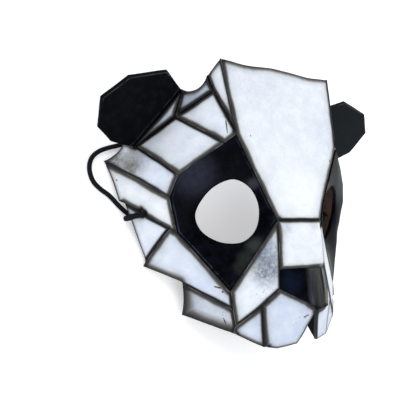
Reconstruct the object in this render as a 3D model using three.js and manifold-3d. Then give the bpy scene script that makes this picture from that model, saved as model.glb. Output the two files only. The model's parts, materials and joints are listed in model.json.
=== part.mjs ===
// Panda half mask of moulded leather, lying face up on its rim, in millimetres with +Z up.
// It is made of flat painted panels that meet in narrow grooves, two black eye patches, a black nose,
// two black ears and a head cord tied through a hole on each side. Left and right are as seen from the front.
import * as THREE from "three";
import { mergeVertices } from "three/addons/utils/BufferGeometryUtils.js";
import Module from "manifold-3d";

const wasm = await Module();
wasm.setup();

// Driving dimensions
const LEATHER = 2.2;
const GROOVE = 0.4;
const REST_LEAN = 14.8;
const FOREHEAD_SLOPE = -0.095;
const ARC_STEPS = 6;
const CORD_DIAMETER = 3;
const CORD_SIDES = 8;
const CORD_STEPS = 44;
const CORD_HOLE_DIAMETER = 5;
const CORD_HOLE_ON_SEAM = 0.42;
const TIE_ON_EDGE = 0.24;
const TIE_STEPS = 28;
const TIE_CLEARANCE = 0.6;
const TIE_TURN = 0.9;
const EYE_HOLE_STEPS = 28;
const PUNCH_SIDES = 16;
const PUNCH_LENGTH = 18;
const WELD = 1e-4;

// Corners of the left half, in the mask's own frame: across from the middle plane, along the face
// from the bridge up to the crown, and height out of the face, with the bridge at zero.
const CORNERS = {
  //                across  along  height
  crown:           [48.5, 100, 100 * FOREHEAD_SLOPE],
  strip_top:       [52.5, 91, -19],
  strip_fork:      [50, 81, -17.5],
  brow_peak:       [45, 51, 51 * FOREHEAD_SLOPE],
  brow_side:       [51.5, 46, -8.5],
  brow_fork:       [64.5, 68.5, -39],
  ear_root_top:    [63, 83.5, -32],
  ear_foot:        [81, 54.5, -55.5],
  ear_root_foot:   [82.5, 52, -57.5],
  temple_top:      [86.5, 54.5, -64.5],
  temple_tip:      [96.5, 44.5, -73.5],
  patch_top:       [74.5, 29.5, -24],
  patch_side:      [79, 17.5, -28.5],
  patch_low:       [73, -4.5, -31],
  patch_foot:      [46.5, -41.5, -16.5],
  wing_tip:        [93.5, 17.5, -62.5],
  gusset_top:      [91, 15.5, -59.5],
  gusset_root:     [76, -1.5, -35.5],
  gusset_foot:     [82, -20, -53.5],
  cheek_tip:       [82.5, -23.5, -55.5],
  jaw_top:         [65, -34.5, -40],
  jaw_seam:        [46, -51.5, -16.5],
  jaw_tip:         [64, -54.5, -43.5],
  jaw_foot:        [45, -66.5, -18.5],
  jaw_fork:        [44.5, -62.5, -17],
  lip_fork:        [31, -51, -6.5],
  lip_foot:        [27.5, -76.5, -10.5],
  lip_chin:        [20.5, -78, -7],
  lip_point:       [9, -76, -1],
  lip_root:        [2.5, -57.5, 8],
  bridge:          [19, 0, 0],
  nose_root:       [20, -30, 0],
  nose_ridge_top:  [7.5, -30, 8],
  nose_wing:       [21.5, -41.5, 0.5],
  nose_ridge_foot: [9, -50.5, 10.5],
  nose_tip:        [0, -55, 10],
  ear_inner:       [80, 90, -21],
  ear_top:         [106, 84.5, -22.5],
  ear_outer:       [118, 72.5, -32.5],
  ear_low:         [113.5, 58.5, -46.5],
  ear_heel:        [101, 52, -53.5],
};

// Free edges that are cut as arcs: how far the middle bows out of the panel, less than zero for a hollow
const BOWS = {
  "strip_top>ear_root_top": -4,
  "temple_top>temple_tip": -2,
  "temple_tip>wing_tip": -0.7,
  "jaw_top>jaw_tip": -0.8,
  "lip_point>lip_root": 1,
};

// Eye hole in front view: its middle, and its radius at angles counted from outwards to crown
const EYE_HOLE = { across: 46.8, along: 5.8 };
const EYE_HOLE_RIM = [
  { angle: 0, radius: 17.5 },
  { angle: 46, radius: 17 },
  { angle: 80, radius: 18.4 },
  { angle: 98, radius: 19.4 },
  { angle: 131, radius: 17.8 },
  { angle: 178, radius: 17.4 },
  { angle: 219, radius: 19.6 },
  { angle: 247, radius: 20.6 },
  { angle: 280, radius: 18.8 },
  { angle: 320, radius: 17.6 },
];

// Free cord from tie to tie, on the surface under the mask, with the surface at zero
const CORD_ROUTE = [
  // x     y     z
  [-86.2, 12.2, 2.1],
  [-88.6, 14.6, 1.6],
  [-92.2, 18.4, 1.6],
  [-97.4, 24.8, 1.6],
  [-102.8, 29.2, 1.6],
  [-106.6, 33.8, 1.6],
  [-108, 39.4, 1.6],
  [-107.4, 45.4, 1.6],
  [-104.4, 51, 1.6],
  [-98.6, 55.4, 1.6],
  [-91, 58.4, 1.6],
  [-81.5, 61.2, 1.6],
  [-70, 65.2, 1.6],
  [-56, 71, 1.6],
  [-40, 76.8, 1.6],
  [-22, 80.6, 1.6],
  [-3, 81.6, 1.6],
  [16, 79.8, 1.6],
  [34, 75, 1.6],
  [50, 67, 1.6],
  [62.5, 56, 1.6],
  [71, 43, 1.6],
  [76.5, 30, 1.6],
  [80.5, 20, 1.7],
  [86.2, 12.2, 2.1],
];

const PAINTS = {
  white: { color: 0xe4e8ef, roughness: 0.55, metalness: 0 },
  patch_black: { color: 0x15161d, roughness: 0.38, metalness: 0 },
  ear_black: { color: 0x101115, roughness: 0.6, metalness: 0 },
  cord_black: { color: 0x17181b, roughness: 0.8, metalness: 0 },
};

// Panels by their corners, counter-clockwise as seen from outside. A star marks the right-hand corner.
const MIDDLE_PANELS = {
  forehead: {
    paint: "white",
    facets: [["crown", "brow_peak", "bridge", "bridge*", "brow_peak*", "crown*"]],
  },
  bridge: {
    paint: "white",
    facets: [
      ["bridge", "nose_root", "nose_ridge_top"],
      ["bridge", "nose_ridge_top", "nose_ridge_top*", "bridge*"],
      ["bridge*", "nose_ridge_top*", "nose_root*"],
    ],
  },
  nose: {
    paint: "patch_black",
    facets: [
      ["nose_root", "nose_wing", "nose_ridge_foot", "nose_ridge_top"],
      ["nose_ridge_top", "nose_ridge_foot", "nose_tip", "nose_ridge_foot*", "nose_ridge_top*"],
      ["nose_ridge_top*", "nose_ridge_foot*", "nose_wing*", "nose_root*"],
    ],
  },
};
const SIDE_PANELS = {
  brow_strip: {
    paint: "white",
    skived: { brow_peak: 6 },
    facets: [["crown", "strip_top", "strip_fork", "brow_peak"]],
  },
  upper_brow: { paint: "white", facets: [["strip_top", "ear_root_top", "brow_fork", "strip_fork"]] },
  brow: { paint: "white", facets: [["strip_fork", "brow_fork", "brow_side", "brow_peak"]] },
  temple: { paint: "white", facets: [["brow_fork", "ear_root_foot", "patch_top", "brow_side"]] },
  ear_base: { paint: "white", facets: [["ear_root_top", "ear_foot", "ear_root_foot", "brow_fork"]] },
  upper_wing: {
    paint: "white",
    facets: [["ear_root_foot", "temple_top", "temple_tip", "patch_side", "patch_top"]],
  },
  cheek_wing: {
    paint: "white",
    facets: [["temple_tip", "wing_tip", "gusset_top", "gusset_root", "patch_low", "patch_side"]],
  },
  cheek_gusset: { paint: "white", facets: [["gusset_top", "gusset_foot", "gusset_root"]] },
  cheek: {
    paint: "white",
    facets: [["patch_low", "gusset_root", "gusset_foot", "cheek_tip", "jaw_top", "jaw_seam", "patch_foot"]],
  },
  jaw: { paint: "white", facets: [["jaw_top", "jaw_tip", "jaw_foot", "jaw_fork", "jaw_seam"]] },
  muzzle_side: {
    paint: "white",
    facets: [["patch_foot", "jaw_seam", "jaw_fork", "lip_fork", "nose_wing", "nose_root", "bridge"]],
  },
  lip_side: { paint: "white", facets: [["jaw_fork", "jaw_foot", "lip_foot", "lip_fork"]] },
  lip: {
    paint: "white",
    facets: [
      ["lip_fork", "lip_foot", "lip_chin", "nose_wing"],
      ["nose_wing", "lip_chin", "lip_point", "lip_root", "nose_ridge_foot"],
    ],
  },
  eye_patch: {
    paint: "patch_black",
    eye_hole: true,
    facets: [["brow_peak", "brow_side", "patch_top", "patch_side", "patch_low", "patch_foot", "bridge"]],
  },
  ear: {
    paint: "ear_black",
    facets: [
      ["ear_root_top", "ear_inner", "ear_top", "ear_outer", "ear_low", "ear_heel", "ear_foot"],
    ],
  },
};

// Corner places and facet directions
const mirrored = (v) => new THREE.Vector3(-v.x, v.y, v.z);
const otherSide = (name) => (name.endsWith("*") ? name.slice(0, -1) : `${name}*`);

function place(name) {
  if (name.endsWith("*")) return mirrored(place(otherSide(name)));
  const [across, along, height] = CORNERS[name];
  return new THREE.Vector3(-across, along, height);
}

function facetNormal(points) {
  const sum = new THREE.Vector3();
  points.forEach((p, i) => sum.add(p.clone().cross(points[(i + 1) % points.length])));
  return sum.normalize();
}

const edgeName = (a, b) => (a < b ? `${a}|${b}` : `${b}|${a}`);

// Facet directions that meet at each corner, and the panels that share each edge
const cornerNormals = {};
const edgePanels = {};
for (const [panel, { facets }] of Object.entries({ ...MIDDLE_PANELS, ...SIDE_PANELS })) {
  for (const facet of facets) {
    const normal = facetNormal(facet.map(place));
    facet.forEach((name, i) => {
      const next = facet[(i + 1) % facet.length];
      (cornerNormals[name] ??= []).push(normal);
      (edgePanels[edgeName(name, next)] ??= new Set()).add(panel);
      (edgePanels[edgeName(otherSide(name), otherSide(next))] ??= new Set()).add(panel);
    });
  }
}

// Step that moves every facet at a corner in by one, in the least-squares sense where more than three meet
const MITRE_HOLD = 0.02;

function mitre(normals) {
  const a = new THREE.Matrix3().identity().multiplyScalar(MITRE_HOLD);
  const b = new THREE.Vector3();
  const mean = normals.reduce((sum, n) => sum.add(n), new THREE.Vector3()).normalize();
  for (const n of normals) {
    const row = [n.x, n.y, n.z];
    row.forEach((p, i) => row.forEach((q, j) => (a.elements[3 * j + i] += p * q)));
    b.add(n);
  }
  b.addScaledVector(mean, MITRE_HOLD);
  return b.applyMatrix3(a.invert());
}

const wallStep = (name) => {
  if (name.endsWith("*")) return mirrored(wallStep(otherSide(name)));
  return mitre(cornerNormals[name]);
};

// Mean value weights carry heights from the corners of a panel to a place inside its outline
function heightInside(x, y, corners) {
  const spokes = corners.map((p) => new THREE.Vector2(p.x - x, p.y - y));
  const halfTangents = spokes.map((s, i) => {
    const t = spokes[(i + 1) % spokes.length];
    return Math.tan(Math.atan2(s.cross(t), s.dot(t)) / 2);
  });
  let weight = 0;
  let height = 0;
  spokes.forEach((s, i) => {
    const before = halfTangents[(i + spokes.length - 1) % spokes.length];
    const w = (before + halfTangents[i]) / s.length();
    weight += w;
    height += w * corners[i].z;
  });
  return height / weight;
}

function eyeHoleRim(corners) {
  const rim = EYE_HOLE_RIM.map(({ angle, radius }) => {
    const turn = THREE.MathUtils.degToRad(angle);
    const x = -EYE_HOLE.across - radius * Math.cos(turn);
    return new THREE.Vector3(x, EYE_HOLE.along + radius * Math.sin(turn), 0);
  });
  const curve = new THREE.CatmullRomCurve3(rim, true);
  const points = curve.getSpacedPoints(EYE_HOLE_STEPS).slice(0, EYE_HOLE_STEPS);
  points.forEach((p) => (p.z = heightInside(p.x, p.y, corners)));
  return points;
}

// Flat map of a facet's points, for its triangles
function flatMap(points, normal) {
  const u = points[1].clone().sub(points[0]).normalize();
  const v = normal.clone().cross(u);
  return points.map((p) => new THREE.Vector2(p.dot(u), p.dot(v)));
}

const LEAST_SPREAD = 0.01;
const STRAIGHT_ON = 0.9;

// One closed leather panel: facets outside, the same facets one wall deeper, and walls along its border
function panelGeometry({ facets, eye_hole: hasEyeHole, skived = {} }) {
  const outer = [];
  const inner = [];
  const index = {};
  const triangles = [];
  const borders = new Map();

  const addPoint = (name, point, step, normal) => {
    if (!(name in index)) {
      index[name] = outer.length;
      outer.push(point.clone());
      inner.push(point.clone().addScaledVector(step, -LEATHER / step.dot(normal)));
    }
    return index[name];
  };
  const addBorder = (a, b, inward, inset) => {
    if (borders.has(`${b}>${a}`)) borders.delete(`${b}>${a}`);
    else borders.set(`${a}>${b}`, { a, b, inward, inset });
  };

  for (const facet of facets) {
    const corners = facet.map(place);
    const normal = facetNormal(corners);
    const loop = [];
    facet.forEach((name, i) => {
      const next = facet[(i + 1) % facet.length];
      const from = corners[i];
      const span = corners[(i + 1) % facet.length].clone().sub(from);
      const inward = normal.clone().cross(span).normalize();
      const inset = edgePanels[edgeName(name, next)].size > 1 ? GROOVE / 2 : 0;
      const ids = [addPoint(name, from, wallStep(name), normal)];
      const bow = BOWS[`${name}>${next}`];
      for (let k = 1; bow && k < ARC_STEPS; k += 1) {
        const s = k / ARC_STEPS;
        const point = from.clone().addScaledVector(span, s);
        point.addScaledVector(inward, -4 * bow * s * (1 - s));
        ids.push(addPoint(`${name}>${next}:${k}`, point, normal, normal));
      }
      ids.forEach((id) => loop.push({ id, inward, inset }));
    });
    loop.forEach(({ id, inward, inset }, i) => addBorder(id, loop[(i + 1) % loop.length].id, inward, inset));

    const ids = loop.map(({ id }) => id);
    const holes = [];
    if (hasEyeHole) {
      const rim = eyeHoleRim(corners).map((p, k) => addPoint(`eye_hole:${k}`, p, normal, normal));
      rim.forEach((id, k) => addBorder(id, rim[(k + 1) % rim.length], normal, 0));
      holes.push(rim);
    }
    const all = [...ids, ...holes.flat()];
    const flat = flatMap(all.map((id) => outer[id]), normal);
    const contour = flat.slice(0, ids.length);
    const faces = THREE.ShapeUtils.triangulateShape(contour, hasEyeHole ? [flat.slice(ids.length)] : []);
    faces.forEach((face) => triangles.push(face.map((k) => all[k])));
  }

  // The border draws back by half a groove wherever it meets another panel. At a corner the two edges'
  // steps are solved together, unless the edges run nearly straight on.
  const draws = outer.map(() => []);
  for (const { a, b, inward, inset } of borders.values()) {
    draws[a].push({ inward, inset });
    draws[b].push({ inward, inset });
  }
  draws.forEach((pair, i) => {
    if (pair.length !== 2) return;
    const [p, q] = pair;
    const c = p.inward.dot(q.inward);
    const spread = Math.max(1 - c * c, LEAST_SPREAD);
    const shift = p.inward.clone().multiplyScalar((p.inset - c * q.inset) / spread);
    shift.addScaledVector(q.inward, (q.inset - c * p.inset) / spread);
    if (c > STRAIGHT_ON) shift.copy(p.inward).multiplyScalar(Math.max(p.inset, q.inset));
    outer[i].add(shift);
    inner[i].add(shift);
  });

  // A narrow tip is skived: its inner corner lies further back inside the panel
  const middle = outer.reduce((sum, p) => sum.add(p), new THREE.Vector3()).divideScalar(outer.length);
  for (const [name, depth] of Object.entries(skived)) {
    const towards = middle.clone().sub(outer[index[name]]).normalize();
    inner[index[name]].addScaledVector(towards, depth);
  }

  const count = outer.length;
  const faces = [];
  for (const [a, b, c] of triangles) faces.push(a, b, c, a + count, c + count, b + count);
  for (const { a, b } of borders.values()) faces.push(a, a + count, b + count, a, b + count, b);
  const geometry = new THREE.BufferGeometry();
  const points = [...outer, ...inner].flatMap((p) => [p.x, p.y, p.z]);
  geometry.setAttribute("position", new THREE.Float32BufferAttribute(points, 3));
  geometry.setIndex(faces);
  return geometry;
}

// Joining and cutting of closed meshes
function toSolid(geometry) {
  const bare = geometry.clone();
  bare.deleteAttribute("normal");
  bare.deleteAttribute("uv");
  const merged = mergeVertices(bare, WELD);
  const vertProperties = new Float32Array(merged.attributes.position.array);
  const triVerts = new Uint32Array(merged.index.array);
  return new wasm.Manifold(new wasm.Mesh({ numProp: 3, vertProperties, triVerts }));
}

function toGeometry(solid) {
  const { vertProperties, triVerts } = solid.getMesh();
  const geometry = new THREE.BufferGeometry();
  geometry.setAttribute("position", new THREE.BufferAttribute(vertProperties, 3));
  geometry.setIndex(new THREE.BufferAttribute(triVerts, 1));
  return geometry;
}

function mirroredGeometry(geometry) {
  const copy = geometry.clone().scale(-1, 1, 1);
  const faces = Array.from(copy.index.array);
  for (let i = 0; i < faces.length; i += 3) [faces[i], faces[i + 1]] = [faces[i + 1], faces[i]];
  copy.setIndex(faces);
  return copy;
}

// The cord hole is punched through the seam of cheek wing and gusset, square to the gusset
const holeAt = place("wing_tip").lerp(place("patch_low"), CORD_HOLE_ON_SEAM);
const tieAt = place("gusset_top").lerp(place("gusset_foot"), TIE_ON_EDGE);
const gussetOut = facetNormal(SIDE_PANELS.cheek_gusset.facets[0].map(place));

function cordPunch() {
  const radius = CORD_HOLE_DIAMETER / 2;
  const punch = new THREE.CylinderGeometry(radius, radius, PUNCH_LENGTH, PUNCH_SIDES);
  const up = new THREE.Vector3(0, 1, 0);
  punch.applyQuaternion(new THREE.Quaternion().setFromUnitVectors(up, gussetOut));
  return toSolid(punch.translate(holeAt.x, holeAt.y, holeAt.z));
}

// Tie: the end of the cord, knotted as a loop through the hole and round the gusset's edge
function tieGeometry() {
  const reach = tieAt.clone().sub(holeAt);
  reach.addScaledVector(gussetOut, -reach.dot(gussetOut));
  const span = reach.length();
  reach.normalize();
  const off = CORD_DIAMETER / 2 + TIE_CLEARANCE;
  // Half of the loop, outside the gusset: share of the way from hole to edge, and height over the face
  const outside = [
    { share: 0, over: 0.3 },
    { share: 0.14, over: off },
    { share: 0.5, over: off + 0.4 },
    { share: 0.95, over: off + 0.2 },
  ];
  const at = (along, over) => holeAt.clone().addScaledVector(reach, along).addScaledVector(gussetOut, over);
  const inside = outside.toReversed();
  const points = [
    at(0, -LEATHER / 2),
    ...outside.map(({ share, over }) => at(share * span, over)),
    at(span + off + TIE_TURN, -LEATHER / 2),
    ...inside.map(({ share, over }) => at(share * span, -LEATHER - over)),
  ];
  const curve = new THREE.CatmullRomCurve3(points, true);
  return new THREE.TubeGeometry(curve, TIE_STEPS, CORD_DIAMETER / 2, CORD_SIDES, true);
}

// Assembly of the mask in its own frame
const mask = new THREE.Group();

function addPiece(group, name, geometry, paint) {
  const mesh = new THREE.Mesh(geometry, new THREE.MeshStandardMaterial(PAINTS[paint]));
  mesh.name = name;
  group.add(mesh);
}

for (const [name, panel] of Object.entries(MIDDLE_PANELS)) {
  addPiece(mask, name, panelGeometry(panel), panel.paint);
}
const punched = ["cheek_wing", "cheek_gusset"];
for (const [name, panel] of Object.entries(SIDE_PANELS)) {
  let geometry = panelGeometry(panel);
  if (punched.includes(name)) geometry = toGeometry(toSolid(geometry).subtract(cordPunch()));
  addPiece(mask, `${name}_left`, geometry, panel.paint);
  addPiece(mask, `${name}_right`, mirroredGeometry(geometry), panel.paint);
}
const tie = mergeVertices(tieGeometry().deleteAttribute("normal").deleteAttribute("uv"), WELD);
addPiece(mask, "cord_tie_left", tie, "cord_black");
addPiece(mask, "cord_tie_right", mirroredGeometry(tie), "cord_black");

// At rest the mask leans towards the chin until its temples and cheeks bear on the surface
mask.rotation.x = THREE.MathUtils.degToRad(REST_LEAN);
mask.updateMatrixWorld(true);
const restBox = new THREE.Box3().setFromObject(mask, true);
mask.position.set(0, -(restBox.min.y + restBox.max.y) / 2, -restBox.min.z);

// Round elastic cord that lies loose on the surface
function cordGeometry() {
  const section = new THREE.Shape();
  for (let k = 0; k < CORD_SIDES; k += 1) {
    const turn = ((k + 0.5) / CORD_SIDES) * 2 * Math.PI;
    const point = [Math.cos(turn), Math.sin(turn)].map((v) => (v * CORD_DIAMETER) / 2);
    if (k === 0) section.moveTo(...point);
    else section.lineTo(...point);
  }
  const extrudePath = new THREE.CatmullRomCurve3(CORD_ROUTE.map((p) => new THREE.Vector3(...p)));
  return new THREE.ExtrudeGeometry(section, { steps: CORD_STEPS, bevelEnabled: false, extrudePath });
}

const part = new THREE.Group();
part.add(mask);
addPiece(part, "head_cord", cordGeometry(), "cord_black");

export default part;
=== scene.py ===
import json
import math

import bmesh
import bpy
import numpy as np
from mathutils import Matrix, Vector, noise
from mathutils.geometry import delaunay_2d_cdt


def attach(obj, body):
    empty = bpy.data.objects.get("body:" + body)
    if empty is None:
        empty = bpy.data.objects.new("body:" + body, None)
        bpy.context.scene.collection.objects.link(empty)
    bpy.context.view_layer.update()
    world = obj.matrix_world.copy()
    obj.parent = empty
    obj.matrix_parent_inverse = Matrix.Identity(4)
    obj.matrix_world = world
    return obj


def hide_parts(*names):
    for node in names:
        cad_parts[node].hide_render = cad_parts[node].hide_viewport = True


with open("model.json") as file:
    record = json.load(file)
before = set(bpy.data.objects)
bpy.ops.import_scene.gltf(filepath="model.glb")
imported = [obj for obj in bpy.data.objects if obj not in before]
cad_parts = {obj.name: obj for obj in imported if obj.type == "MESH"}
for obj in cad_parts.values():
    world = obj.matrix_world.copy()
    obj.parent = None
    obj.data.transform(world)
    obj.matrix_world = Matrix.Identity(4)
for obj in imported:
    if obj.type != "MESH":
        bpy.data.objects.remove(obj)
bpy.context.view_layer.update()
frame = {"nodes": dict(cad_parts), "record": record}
MM = 0.001

# Studio: a plain pale floor under soft white light. The camera looks down on the mask from its left, as the
# photograph does, through a lens that takes in about 38 degrees.
PHOTO_SIDE = 416
FOCAL_PIXELS = 600
NEAREST = 0.01
CAMERA_PLACE = Vector((-276.8, -102.2, 309.0)) * MM
CAMERA_AIM = Vector((-20.0, 18.2, -0.8)) * MM
CAMERA_UP = Vector((-0.0076, 0.9342, 0.3567))
FLOOR_HALF = 3.0
FLOOR_COLOUR = (0.86, 0.86, 0.87, 1)
FLOOR_ROUGHNESS = 0.9
FLOOR_GLOW = 0.45
WORLD_COLOUR = (0.93, 0.96, 1.0, 1)
WORLD_STRENGTH = 0.68
LIGHTS = {
    # name: (place, aim, width, height in metres, watts, colour)
    "key": ((-0.2, -0.55, 0.75), (0, -0.03, 0.03), 0.7, 0.5, 3.0, (1, 1, 1)),
    "side": ((0.95, 0.1, 0.5), (0, 0, 0.03), 0.7, 0.5, 2.5, (1, 1, 1)),
    "crown": ((-0.6, 0.65, 0.7), (0, 0, 0.03), 0.6, 0.4, 3.8, (0.82, 0.89, 1)),
}


def looking(place, aim, up):
    """Matrix of a camera or light at a place, turned to a point."""
    back = (place - aim).normalized()
    right = up.cross(back).normalized()
    turn = Matrix((right, back.cross(right), back)).transposed()
    return Matrix.Translation(place) @ turn.to_4x4()


def add_object(name, data):
    thing = bpy.data.objects.new(name, data)
    bpy.context.scene.collection.objects.link(thing)
    return thing


lens = bpy.data.cameras.new("camera")
lens.lens = lens.sensor_width * FOCAL_PIXELS / PHOTO_SIDE
lens.clip_start = NEAREST
camera = add_object("camera", lens)
camera.matrix_world = looking(CAMERA_PLACE, CAMERA_AIM, CAMERA_UP)
bpy.context.scene.camera = camera
bpy.context.scene.view_settings.view_transform = "Standard"

for light_name, (place, aim, width, height, watts, colour) in LIGHTS.items():
    lamp = bpy.data.lights.new(light_name, "AREA")
    lamp.shape = "RECTANGLE"
    lamp.size = width
    lamp.size_y = height
    lamp.energy = watts
    lamp.color = colour
    light = add_object(light_name, lamp)
    light.matrix_world = looking(Vector(place), Vector(aim), Vector((0, 0, 1)))

world = bpy.data.worlds.new("studio")
world.use_nodes = True
sky = world.node_tree.nodes["Background"]
sky.inputs["Color"].default_value = WORLD_COLOUR
sky.inputs["Strength"].default_value = WORLD_STRENGTH
bpy.context.scene.world = world

floor_mesh = bpy.data.meshes.new("floor")
floor_corners = [(FLOOR_HALF * x, FLOOR_HALF * y, 0) for x, y in ((-1, -1), (1, -1), (1, 1), (-1, 1))]
floor_mesh.from_pydata(floor_corners, [], [(0, 1, 2, 3)])
floor_paint = bpy.data.materials.new("floor_paper")
floor_paint.use_nodes = True
floor_shader = floor_paint.node_tree.nodes["Principled BSDF"]
floor_shader.inputs["Base Color"].default_value = FLOOR_COLOUR
floor_shader.inputs["Roughness"].default_value = FLOOR_ROUGHNESS
floor_shader.inputs["Emission Color"].default_value = FLOOR_COLOUR
floor_shader.inputs["Emission Strength"].default_value = FLOOR_GLOW
floor_mesh.materials.append(floor_paint)
floor = add_object("floor", floor_mesh)

# Head cord: a black elastic cord, braided round a rubber core, that holds the mask on. It lies loose on the
# floor, and each end is knotted as a tie through a hole punched in the mask's side.
CORD_DIAMETER = 3 * MM
CORD_ROUTE = [
    (-86.2, 12.2, 2.1), (-88.6, 14.6, 1.6), (-92.2, 18.4, 1.6), (-97.4, 24.8, 1.6), (-102.8, 29.2, 1.6),
    (-106.6, 33.8, 1.6), (-108, 39.4, 1.6), (-107.4, 45.4, 1.6), (-104.4, 51, 1.6), (-98.6, 55.4, 1.6),
    (-91, 58.4, 1.6), (-81.5, 61.2, 1.6), (-70, 65.2, 1.6), (-56, 71, 1.6), (-40, 76.8, 1.6),
    (-22, 80.6, 1.6), (-3, 81.6, 1.6), (16, 79.8, 1.6), (34, 75, 1.6), (50, 67, 1.6),
    (62.5, 56, 1.6), (71, 43, 1.6), (76.5, 30, 1.6), (80.5, 20, 1.7), (86.2, 12.2, 2.1),
]
CORD_LINE_STEPS = 8
CORD_STEP = 0.35 * MM
CORD_SIDES = 32
BRAID_STRANDS = 8
BRAID_PITCH = 7 * MM
BRAID_RELIEF = 0.09 * MM
CORD_BLACKS = ((0.002, 0.002, 0.003), (0.012, 0.012, 0.014))
CORD_FIBRE = 0.35 * MM
CORD_FUZZ = 0.08 * MM


class Tone:
    """A socket of a node tree. Sums and products of tones and numbers add the Math nodes for them."""

    def __init__(self, socket):
        self.socket = socket
        self.tree = socket.id_data

    def node(self, kind, settings=None, sockets=None, output=0):
        """Adds a node with these settings and socket values or links, and gives one of its outputs."""
        node = self.tree.nodes.new(kind)
        for name, value in (settings or {}).items():
            if name != "stops":
                setattr(node, name, value)
                continue
            stops = node.color_ramp.elements
            while len(stops) < len(value):
                stops.new(1)
            for stop, (position, colour) in zip(stops, value):
                stop.position = position
                stop.color = (*colour, 1)
        for name, value in (sockets or {}).items():
            if isinstance(value, Tone):
                self.tree.links.new(value.socket, node.inputs[name])
            else:
                node.inputs[name].default_value = value
        return Tone(node.outputs[output])

    def also(self, output):
        """Another output of the same node."""
        return Tone(self.socket.node.outputs[output])

    def math(self, operation, *values):
        return self.node("ShaderNodeMath", {"operation": operation}, dict(enumerate(values)))

    def vector(self, operation, *values, output=0):
        """Maths on vectors and vector tones."""
        return self.node("ShaderNodeVectorMath", {"operation": operation}, dict(enumerate(values)), output)

    def clamped(self):
        """The tone, kept from 0 to 1."""
        return self.node("ShaderNodeClamp", None, {0: self})

    def __add__(self, other):
        return self.math("ADD", self, other)

    def __radd__(self, other):
        return self.math("ADD", other, self)

    def __sub__(self, other):
        return self.math("SUBTRACT", self, other)

    def __rsub__(self, other):
        return self.math("SUBTRACT", other, self)

    def __mul__(self, other):
        return self.math("MULTIPLY", self, other)

    def __rmul__(self, other):
        return self.math("MULTIPLY", other, self)

    def step(self, start, end):
        """Smooth step from 0 where the tone is at start to 1 where it is at end."""
        sockets = {"Value": self, "From Min": start, "From Max": end}
        return self.node("ShaderNodeMapRange", {"interpolation_type": "SMOOTHSTEP"}, sockets)


def catmull_rom(points, steps, closed=False):
    """Smooth line through points, with this many steps from each to the next. An open one keeps its end."""
    if closed:
        line = np.array([points[-1], *points, points[0], points[1]])
    else:
        line = np.array([2 * points[0] - points[1], *points, 2 * points[-1] - points[-2]])
    share = np.arange(steps)[:, None] / steps
    runs = []
    for a, b, c, d in zip(line, line[1:], line[2:], line[3:]):
        bend = (2 * a - 5 * b + 4 * c - d) * share + (3 * b - a - 3 * c + d) * share**2
        runs.append(b + share / 2 * (c - a + bend))
    return np.concatenate(runs if closed else [*runs, points[-1:]])


def new_material(name, **constants):
    """A material with these constant sockets on its shader, the shader, and its Object coordinates."""
    made = bpy.data.materials.new(name)
    made.use_nodes = True
    shader = made.node_tree.nodes["Principled BSDF"]
    for socket, value in constants.items():
        shader.inputs[socket.replace("_", " ")].default_value = value
    place = Tone(made.node_tree.nodes.new("ShaderNodeTexCoord").outputs["Object"])
    return made, shader, place


def plug(shader, **tones):
    """Links tones to a shader's sockets."""
    for socket, tone in tones.items():
        tone.tree.links.new(tone.socket, shader.inputs[socket.replace("_", " ")])


def clouds(place, size, detail=2.0, roughness=0.5):
    """Soft noise from 0 to 1 whose forms are about this large, in metres."""
    sockets = {"Vector": place, "Scale": 1 / size, "Detail": detail, "Roughness": roughness}
    return place.node("ShaderNodeTexNoise", None, sockets)


def mix(share, first, second):
    """Colour between two colours or colour tones."""
    colours = [c if isinstance(c, Tone) else (*c, 1) for c in (first, second)]
    settings = {"data_type": "RGBA"}
    return share.node("ShaderNodeMix", settings, {0: share, 6: colours[0], 7: colours[1]}, 2)


def bump(height, distance):
    """Surface normal of a height tone, whose full step is this deep in metres."""
    return height.node("ShaderNodeBump", None, {"Height": height, "Distance": distance})


def cord_material():
    made, shader, place = new_material("cord_braid", Roughness=0.85, Specular_IOR_Level=0.1)
    fibre = clouds(place, CORD_FIBRE, 3)
    plug(shader, Base_Color=mix(fibre, *CORD_BLACKS), Normal=bump(fibre, CORD_FUZZ))
    return made


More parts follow.
